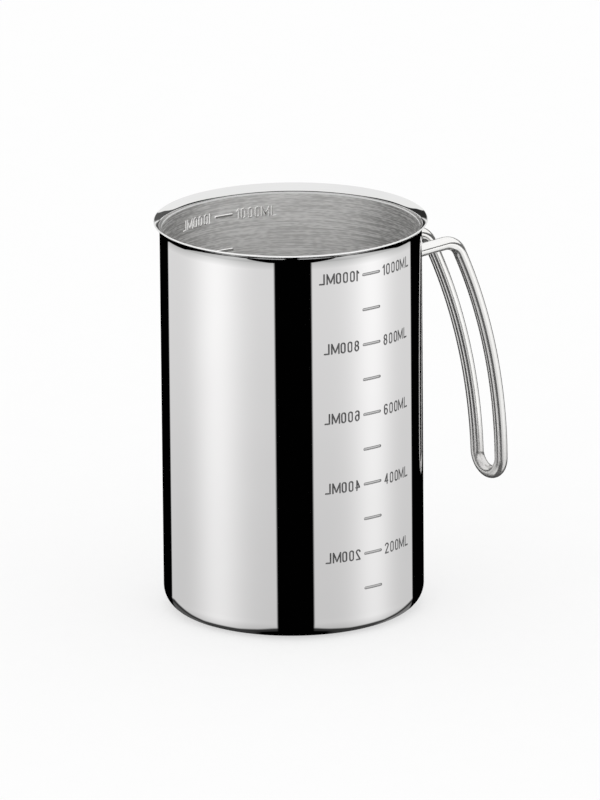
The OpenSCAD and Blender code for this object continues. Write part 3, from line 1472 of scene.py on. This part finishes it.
@dataclass(frozen=True)
class BaseLine:
    """Light and dark along the base round, by the angle aside from the camera and the turn under the jug."""

    aside: tuple[float, ...] = (0.0, 10.0, 16.0, 26.0, 45.0, 53.0, 60.0, 66.0)
    start: tuple[float, ...] = (20.0, 25.0, 31.0, 37.0, 34.0, 25.0, 13.0, 3.0)
    soft: float = 2.5
    width: float = 11.0
    dark: float = 0.05
    left_glow: float = 0.14
    right_glow: float = 0.3
    glow_aside: Span = (38.0, 50.0)
    black_aside: Span = (15.0, 19.0)
    fading_turn: tuple[float, ...] = (0.0, 10.0, 35.0, 60.0)
    fading: tuple[float, ...] = (1.0, 1.0, 0.76, 0.6)

    def share(self, turn: Array, deep: Array) -> Array:
        """Share of the panels' light that the base round mirrors.

        Args:
            turn: angle from the camera's side, in degrees.
            deep: how far the round has turned under, in degrees.

        Returns:
            The share, 1 where the round meets the side.
        """
        aside = np.abs(turn)
        start = np.interp(aside, self.aside, self.start)
        above = np.clip(0.5 - (deep - start) / (2 * self.soft), 0.0, 1.0)
        below = np.clip(0.5 + (deep - start - self.width) / (2 * self.soft), 0.0, 1.0)
        fading = np.interp(deep, self.fading_turn, self.fading)
        glow = np.where(turn > 0, self.right_glow, self.left_glow)
        glow = glow * np.interp(aside, self.glow_aside, (0.0, 1.0))
        black = np.interp(aside, self.black_aside, (1.0, 0.0))
        under = self.dark + below * (np.maximum(glow, self.dark) - self.dark - black * self.dark)
        return above * fading + (1.0 - above) * under


@dataclass
class Studio:
    """Pale floor, white sky, a wall of light and dark panels that the steel mirrors, and the camera.

    Base and camera are placed in mm, wall and floor in metres. The camera's focal length and frame height
    are in pixels, its turns in radians and all other angles in degrees.
    """

    base_radius: float
    base_round: float
    bearing: float = -127.4135
    distance: float = 4238.8
    eye_height: float = 1339.1
    focal: float = 11769.4
    frame_height: float = 800.0
    sensor: float = 36.0
    clip: Span = (0.1, 100.0)
    yaw: float = 0.00069
    pitch: float = 0.28886
    roll: float = -0.00885
    panels: tuple[LightPanel, ...] = (
        LightPanel(-137.5, -14.8, -70.0, 25.0, 0.73, 1.03),
        LightPanel(17.8, 130.0, 75.0, 22.0, 0.74, 1.04),
    )
    hem: PanelHem = PanelHem()
    back: BackWall = BackWall()
    base_line: BaseLine = BaseLine()
    wall_radius: float = 6.0
    wall_centre: float = 0.075
    wall_reach: Span = (-89.0, 34.0)
    wall_rings: int = 42
    wall_turns: int = 120
    sky_foot: float = 11.0
    sky_steps: tuple[tuple[float, float, float], ...] = (
        (-2.0, 18.0, 50.0), (4.0, 60.0, 90.0), (-3.0, 100.0, 120.0), (10.5, 120.0, 152.0),
    )
    sky_soft: float = 0.6
    foot_turn: float = 87.0
    foot_turns: int = 117
    foot_dip: float = 75.0
    foot_dips: int = 51
    foot_height: float = 0.0001
    foot_level: float = 0.92
    foot_facing: float = 0.01
    foot_fall: float = -0.05
    dark: float = 0.0004
    light_tone: Colour = (1.0, 1.0, 0.995)
    floor_size: float = 30.0
    floor_grain: float = 60.0
    floor_shade: Colour = (0.965, 0.965, 0.965)
    floor_tone: Colour = (0.985, 0.985, 0.985)
    floor_gloss: float = 0.9
    floor_glow: float = 0.6

    def build(self) -> None:
        """Sets the stage."""
        self.sky()
        self.floor()
        self.wall()
        self.foot()
        self.camera()
        bpy.context.scene.view_settings.view_transform = "Standard"

    def sky(self) -> None:
        """An even white sky."""
        world = bpy.data.worlds.new("studio_sky")
        world.use_nodes = True
        graph = Graph(world.node_tree)
        light = graph.node("ShaderNodeBackground", sockets={"Color": (1.0, 1.0, 1.0, 1.0), "Strength": 1.0})
        graph.node("ShaderNodeOutputWorld", sockets={"Surface": light}, out=None)
        world.cycles.sampling_method = "NONE"
        bpy.context.scene.world = world

    def floor(self) -> None:
        """A plain pale floor, lit up for the eye, so that only a soft shadow is left on it."""
        material, graph = new_material("pale_floor")
        grain = graph.noise(graph.place(), self.floor_grain)
        colour = grain.blend(self.floor_shade, self.floor_tone)
        shader = graph.node("ShaderNodeBsdfPrincipled", sockets={
            "Base Color": colour, "Roughness": self.floor_gloss, "Specular IOR Level": 0.0})
        seen = camera = graph.node("ShaderNodeLightPath", out="Is Camera Ray")
        for ray in ("Is Glossy Ray", "Is Transmission Ray"):
            seen = seen.math("MAXIMUM", camera.other(ray))
        white = graph.glow((1.0, 1.0, 1.0), 1.0)
        graph.close(graph.node(
            "ShaderNodeMixShader", sockets={0: seen * self.floor_glow, 1: shader, 2: white}))
        material.cycles.emission_sampling = "NONE"
        corners = np.array([(-1.0, -1.0, 0.0), (1.0, -1.0, 0.0), (1.0, 1.0, 0.0), (-1.0, 1.0, 0.0)])
        mesh = new_mesh("floor", corners * self.floor_size, [(0, 1, 2, 3)])
        mesh.materials.append(material)
        made = new_piece("floor", mesh)
        made.visible_glossy = False

    def mirrored(self, mesh: Mesh, light: Callable[[Graph], Term], height: float) -> None:
        """Hangs up a light that only the steel sees; its own X axis points at the camera.

        Args:
            mesh: shape of the light.
            light: makes the light's strength in a node tree.
            height: height of the mesh's origin, in metres.
        """
        material, graph = new_material(mesh.name)
        graph.close(graph.glow(self.light_tone, light(graph) + self.dark))
        material.cycles.emission_sampling = "NONE"
        mesh.materials.append(material)
        made = new_piece(mesh.name, mesh)
        made.location = (0.0, 0.0, height)
        made.rotation_euler = (0.0, 0.0, math.radians(self.bearing))
        made.visible_camera = made.visible_diffuse = made.visible_shadow = False
        made.visible_transmission = made.visible_volume_scatter = False

    def panel_light(self, bearing: Term) -> Term:
        """Light of all panels at a bearing."""
        return sum(panel.level(bearing) for panel in self.panels)

    def wall(self) -> None:
        """A round wall of light."""
        rise = np.radians(np.linspace(*self.wall_reach, self.wall_rings))[:, None]
        turn = np.linspace(0.0, 2 * math.pi, self.wall_turns, endpoint=False)
        corners = polar(turn, np.cos(rise), np.sin(rise))
        faces = grid_faces(self.wall_rings, self.wall_turns, closed=True)
        mesh = new_mesh("light_wall", corners.reshape(-1, 3) * self.wall_radius, faces)
        self.mirrored(mesh, self.wall_light, self.wall_centre)

    def wall_light(self, graph: Graph) -> Term:
        """Light and dark panels of the wall, by the direction in which they are seen.

        Args:
            graph: tree of the wall's material.

        Returns:
            The light's strength.
        """
        x, y, z = graph.place().parts()
        bearing = y.math("ARCTAN2", x).math("DEGREES")
        rise = (z / self.wall_radius).math("ARCSINE").math("DEGREES")
        light = self.panel_light(bearing) * self.hem.cover(bearing, rise)
        foot: Number = self.sky_foot
        for gain, start, end in self.sky_steps:
            foot = foot + gain * abs(bearing).step(start, end)
        sky = (rise - foot).step(-self.sky_soft, self.sky_soft)
        return light + sky + self.back.light(bearing, rise, sky)

    def foot(self) -> None:
        """A sheet of light on the floor, laid out so that the base round mirrors the panels straight down."""
        turn = np.radians(np.linspace(-self.foot_turn, self.foot_turn, self.foot_turns))
        dip = np.radians(np.linspace(0.0, self.foot_dip, self.foot_dips))
        phi, tilt = np.meshgrid(turn, dip, indexing="ij")
        out = self.base_radius + self.base_round * np.cos(tilt)
        spot = polar(phi, out, self.base_round * (1 - np.sin(tilt)))
        facing = polar(phi, np.cos(tilt), -np.sin(tilt))
        view = np.array([self.distance, 0.0, self.eye_height]) - spot
        view /= np.linalg.norm(view, axis=-1, keepdims=True)
        toward = (view * facing).sum(-1)
        ray = 2 * toward[..., None] * facing - view
        seen = (toward > self.foot_facing) & (ray[..., 2] < self.foot_fall)
        ray[~seen, 2] = -1.0
        spot = spot - ray * (spot[..., 2] / ray[..., 2])[..., None]
        spot[..., 2] = 0.0
        faces = [
            face for face in grid_faces(self.foot_turns, self.foot_dips, closed=False)
            if seen.ravel()[list(face)].all()
        ]
        mesh = new_mesh("foot_light", spot.reshape(-1, 3) * MM, faces)
        share = self.base_line.share(np.degrees(phi), np.degrees(tilt))
        set_values(mesh, {"bearing": np.degrees(2 * phi), "share": share})
        self.mirrored(mesh, self.foot_light, self.foot_height)

    def foot_light(self, graph: Graph) -> Term:
        """Light of the sheet round the foot, led on from the panels above it."""
        light = self.panel_light(graph.attribute("bearing"))
        return light * graph.attribute("share") * self.foot_level

    def camera(self) -> None:
        """The camera at the photograph's viewing angle."""
        cy, sy, cp, sp = math.cos(self.yaw), math.sin(self.yaw), math.cos(self.pitch), math.sin(self.pitch)
        forward, right = Vector((sy * cp, cy * cp, -sp)), Vector((cy, -sy, 0.0))
        above = right.cross(forward)
        cr, sr = math.cos(self.roll), math.sin(self.roll)
        across, up = right * cr + above * sr, above * cr - right * sr
        axes = Matrix((across, up, -forward)).transposed().to_4x4()
        place = Matrix.Translation((0.0, -self.distance * MM, self.eye_height * MM))
        spin = Matrix.Rotation(math.radians(self.bearing + 90.0), 4, "Z")
        lens = bpy.data.cameras.new("camera")
        lens.lens = self.focal / self.frame_height * self.sensor
        lens.sensor_width = self.sensor
        lens.clip_start, lens.clip_end = self.clip
        made = new_piece("camera", lens)
        made.matrix_world = spin @ place @ axes
        bpy.context.scene.camera = made


def main() -> None:
    """Builds the jug piece by piece and sets the stage."""
    logging.basicConfig(level=logging.INFO, format="%(name)s: %(message)s")
    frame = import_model()
    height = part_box("jug_body")[1].z / MM
    body = JugBody(height)
    Studio(body.outside - body.base_round, body.base_round).build()
    pieces = [body.dress(), WireHandle(height, body.outside).dress()]
    pieces += WeldPair().dress(frame["nodes"])
    for piece in pieces:
        log.info("%s: %d faces", piece.name, len(piece.data.polygons))


if __name__ == "__main__":
    main()
